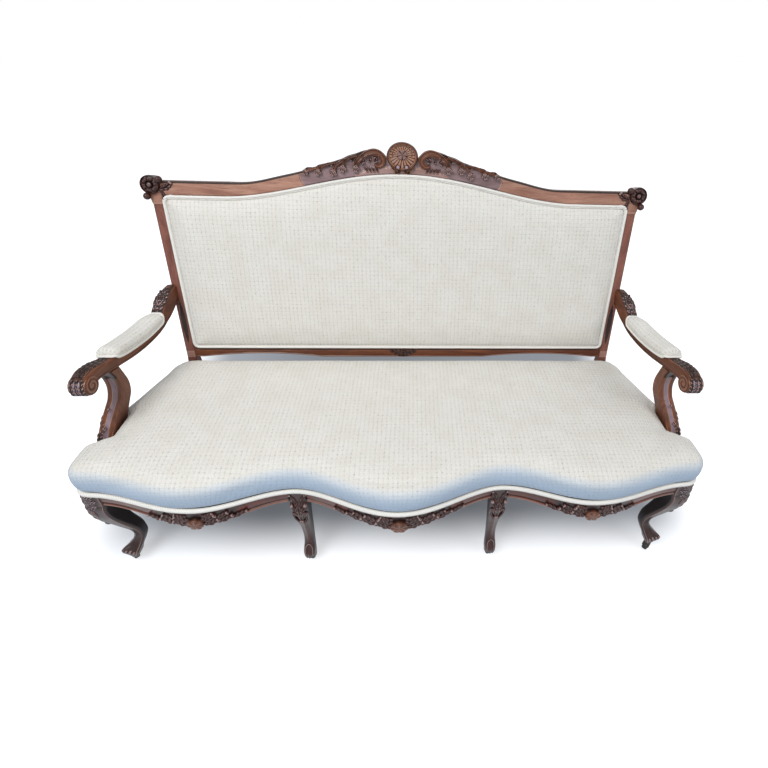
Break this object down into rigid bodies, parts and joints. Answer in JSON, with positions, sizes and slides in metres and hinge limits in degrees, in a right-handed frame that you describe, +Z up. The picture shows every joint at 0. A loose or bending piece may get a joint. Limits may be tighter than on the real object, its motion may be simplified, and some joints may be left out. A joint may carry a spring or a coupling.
{
  "type": "carved open-arm settee",
  "caption": "Wide settee with a carved camelback crest, open padded scroll arms, a serpentine upholstered seat, cabriole front legs on castors and splayed rear legs.",
  "frame": {"origin": "on the floor, under the middle of the whole object", "axes": "+X to the right as seen from the front, +Y to the back, +Z up"},
  "size_m": [1.727, 0.7436, 1.1278],
  "materials": {
    "walnut": "french polished red-brown walnut, satin to gloss",
    "carved_walnut": "carved walnut with dark wax left in the hollows",
    "beech": "bare sawn beech",
    "cream_cloth": "cream waffle weave with small grey-green flecks",
    "welt_cord": "cream covered cord",
    "jute": "woven jute webbing",
    "black_cambric": "thin black cambric",
    "spring_steel": "coppered wire gone dull",
    "aged_brass": "old brass, darkened",
    "castor_wheel": "dark worn castor wheel"
  },
  "bodies": {
    "frame": {"arm_left": "walnut", "arm_pad_left": "cream_cloth", "arm_pad_right": "cream_cloth", "arm_right": "walnut", "arm_support_left": "walnut", "arm_support_right": "walnut", "arm_welt_left": "welt_cord", "arm_welt_right": "welt_cord", "back_pad": "cream_cloth", "back_webbing": "jute", "back_welt": "welt_cord", "castor_plate_corner_left": "aged_brass", "castor_plate_corner_right": "aged_brass", "castor_plate_mid_left": "aged_brass", "castor_plate_mid_right": "aged_brass", "corner_leg_left": "walnut", "corner_leg_right": "walnut", "crest_rail": "walnut", "crest_scroll_left": "carved_walnut", "crest_scroll_right": "carved_walnut", "crest_shell": "carved_walnut", "dust_cover": "black_cambric", "finial_left": "carved_walnut", "finial_right": "carved_walnut", "front_rail_centre": "walnut", "front_rail_left": "walnut", "front_rail_right": "walnut", "glue_block_left": "beech", "glue_block_right": "beech", "lower_back_rail": "walnut", "mid_leg_left": "walnut", "mid_leg_right": "walnut", "outside_back": "cream_cloth", "rail_leaf_centre": "carved_walnut", "rail_leaf_left": "carved_walnut", "rail_leaf_right": "carved_walnut", "rear_post_left": "walnut", "rear_post_right": "walnut", "rear_seat_rail": "beech", "seat_brace_left": "beech", "seat_brace_right": "beech", "seat_cushion": "cream_cloth", "seat_springs": "spring_steel", "seat_webbing": "jute", "seat_welt": "welt_cord", "side_rail_left": "walnut", "side_rail_right": "walnut"},
    "swivel_corner_left": {"castor_axle_corner_left": "aged_brass", "castor_horn_corner_left": "aged_brass"},
    "roller_corner_left": {"castor_wheel_corner_left": "castor_wheel"},
    "swivel_mid_left": {"castor_axle_mid_left": "aged_brass", "castor_horn_mid_left": "aged_brass"},
    "roller_mid_left": {"castor_wheel_mid_left": "castor_wheel"},
    "swivel_mid_right": {"castor_axle_mid_right": "aged_brass", "castor_horn_mid_right": "aged_brass"},
    "roller_mid_right": {"castor_wheel_mid_right": "castor_wheel"},
    "swivel_corner_right": {"castor_axle_corner_right": "aged_brass", "castor_horn_corner_right": "aged_brass"},
    "roller_corner_right": {"castor_wheel_corner_right": "castor_wheel"}
  },
  "joints": [
    {"name": "swivel_turn_corner_left", "type": "hinge", "parent": "frame", "child": "swivel_corner_left", "pos_m": [-0.80979, -0.24279, 0.034], "axis": [0, 0, 1], "continuous": true},
    {"name": "swivel_turn_mid_left", "type": "hinge", "parent": "frame", "child": "swivel_mid_left", "pos_m": [-0.278, -0.26134, 0.034], "axis": [0, 0, 1], "continuous": true},
    {"name": "swivel_turn_mid_right", "type": "hinge", "parent": "frame", "child": "swivel_mid_right", "pos_m": [0.278, -0.26134, 0.034], "axis": [0, 0, 1], "continuous": true},
    {"name": "swivel_turn_corner_right", "type": "hinge", "parent": "frame", "child": "swivel_corner_right", "pos_m": [0.80979, -0.24279, 0.034], "axis": [0, 0, 1], "continuous": true},
    {"name": "wheel_roll_corner_left", "type": "hinge", "parent": "swivel_corner_left", "child": "roller_corner_left", "pos_m": [-0.81827, -0.2343, 0.015], "axis": [-0.7071, -0.7071, 0], "continuous": true},
    {"name": "wheel_roll_mid_left", "type": "hinge", "parent": "swivel_mid_left", "child": "roller_mid_left", "pos_m": [-0.27592, -0.24952, 0.015], "axis": [-0.9848, 0.1736, 0], "continuous": true},
    {"name": "wheel_roll_mid_right", "type": "hinge", "parent": "swivel_mid_right", "child": "roller_mid_right", "pos_m": [0.27592, -0.24952, 0.015], "axis": [-0.9848, -0.1736, 0], "continuous": true},
    {"name": "wheel_roll_corner_right", "type": "hinge", "parent": "swivel_corner_right", "child": "roller_corner_right", "pos_m": [0.80101, -0.25097, 0.015], "axis": [0.682, -0.7314, 0], "continuous": true}
  ]
}
